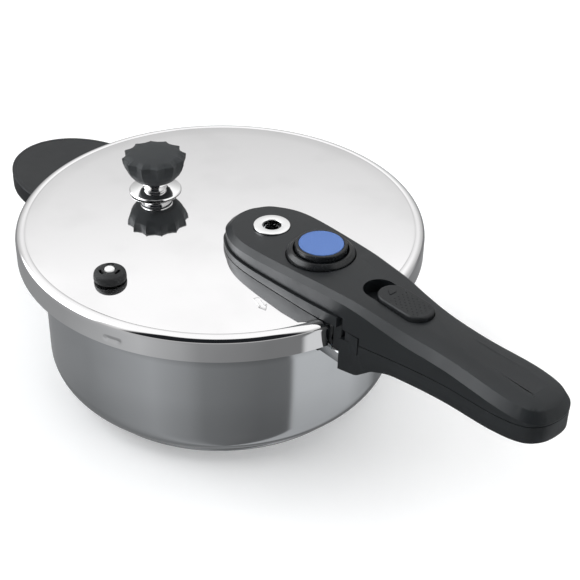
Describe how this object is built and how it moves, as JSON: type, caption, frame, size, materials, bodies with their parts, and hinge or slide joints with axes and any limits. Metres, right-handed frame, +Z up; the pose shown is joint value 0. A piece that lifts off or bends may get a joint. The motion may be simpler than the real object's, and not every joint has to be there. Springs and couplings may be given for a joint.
{
  "type": "stovetop pressure cooker",
  "caption": "Low stovetop pressure cooker: steel pan, bayonet lid, long double handle with slide lock and indicator, knobbed regulator and helper handle.",
  "frame": {"origin": "centre of the underside of the pan's base", "axes": "+Z up along the pan's axis, +X along the long handles, +Y to the left of the handles seen from the pan"},
  "size_m": [0.4631, 0.254, 0.1389],
  "materials": {
    "polished_steel": "mirror-polished stainless steel",
    "satin_steel": "satin to bright stainless steel",
    "aluminium": "plain",
    "black_phenolic": "matte moulded phenolic",
    "black_rubber": "matte rubber",
    "silicone": "soft grey silicone",
    "blue_plastic": "smooth blue disc",
    "white_pin": "smooth white pin"
  },
  "bodies": {
    "pan": {"pan_body": "satin_steel", "base_core": "aluminium", "base_cap": "satin_steel", "pan_bracket": "satin_steel", "pan_handle": "black_phenolic", "pan_handle_screw": "satin_steel", "flame_guard": "satin_steel", "guard_gasket": "black_rubber", "helper_bracket": "satin_steel", "helper_handle": "black_phenolic", "helper_screw_left": "satin_steel", "helper_screw_right": "satin_steel"},
    "seal": {"sealing_ring": "silicone"},
    "lid": {"lid_shell": "polished_steel", "lid_handle_base": "black_phenolic", "lid_handle_cover": "black_phenolic", "handle_screw_1": "satin_steel", "handle_screw_2": "satin_steel", "handle_stud": "satin_steel", "stud_nut": "satin_steel", "stud_seal": "silicone", "ferrule": "polished_steel", "indicator_bezel": "black_phenolic", "indicator_seal": "silicone", "indicator_spring": "satin_steel", "valve_seat": "polished_steel", "valve_washer": "silicone", "valve_nut": "satin_steel", "safety_grommet": "black_rubber"},
    "indicator": {"indicator_rod": "satin_steel", "indicator_cap": "black_phenolic", "indicator_disc": "blue_plastic"},
    "lock": {"slide_button": "black_phenolic", "latch_bar": "satin_steel", "slide_screw": "satin_steel"},
    "regulator": {"regulator_weight": "satin_steel"},
    "knob": {"regulator_knob": "black_rubber"},
    "safety": {"safety_pin": "white_pin"}
  },
  "joints": [
    {"name": "lid_lift", "type": "slide", "parent": "pan", "child": "seal", "axis": [0, 0, 1], "range_m": [0, 0.12]},
    {"name": "lid_turn", "type": "hinge", "parent": "seal", "child": "lid", "pos_m": [0, 0, 0.1], "axis": [0, 0, 1], "range_deg": [0, 30]},
    {"name": "indicator_rise", "type": "slide", "parent": "lid", "child": "indicator", "axis": [0, 0, 1], "range_m": [0, 0.004], "stiffness_N_per_m": 300, "springref_m": -0.002, "deforming": ["indicator_spring"]},
    {"name": "lock_slide", "type": "slide", "parent": "lid", "child": "lock", "axis": [-1, 0, 0], "range_m": [0, 0.0105]},
    {"name": "regulator_lift", "type": "slide", "parent": "lid", "child": "regulator", "axis": [0, 0, 1], "range_m": [0, 0.003]},
    {"name": "knob_turn", "type": "hinge", "parent": "regulator", "child": "knob", "pos_m": [-0.05, -0.0135, 0.126], "axis": [0, 0, 1], "continuous": true},
    {"name": "safety_rise", "type": "slide", "parent": "lid", "child": "safety", "axis": [0, 0, 1], "range_m": [0, 0.002]}
  ]
}
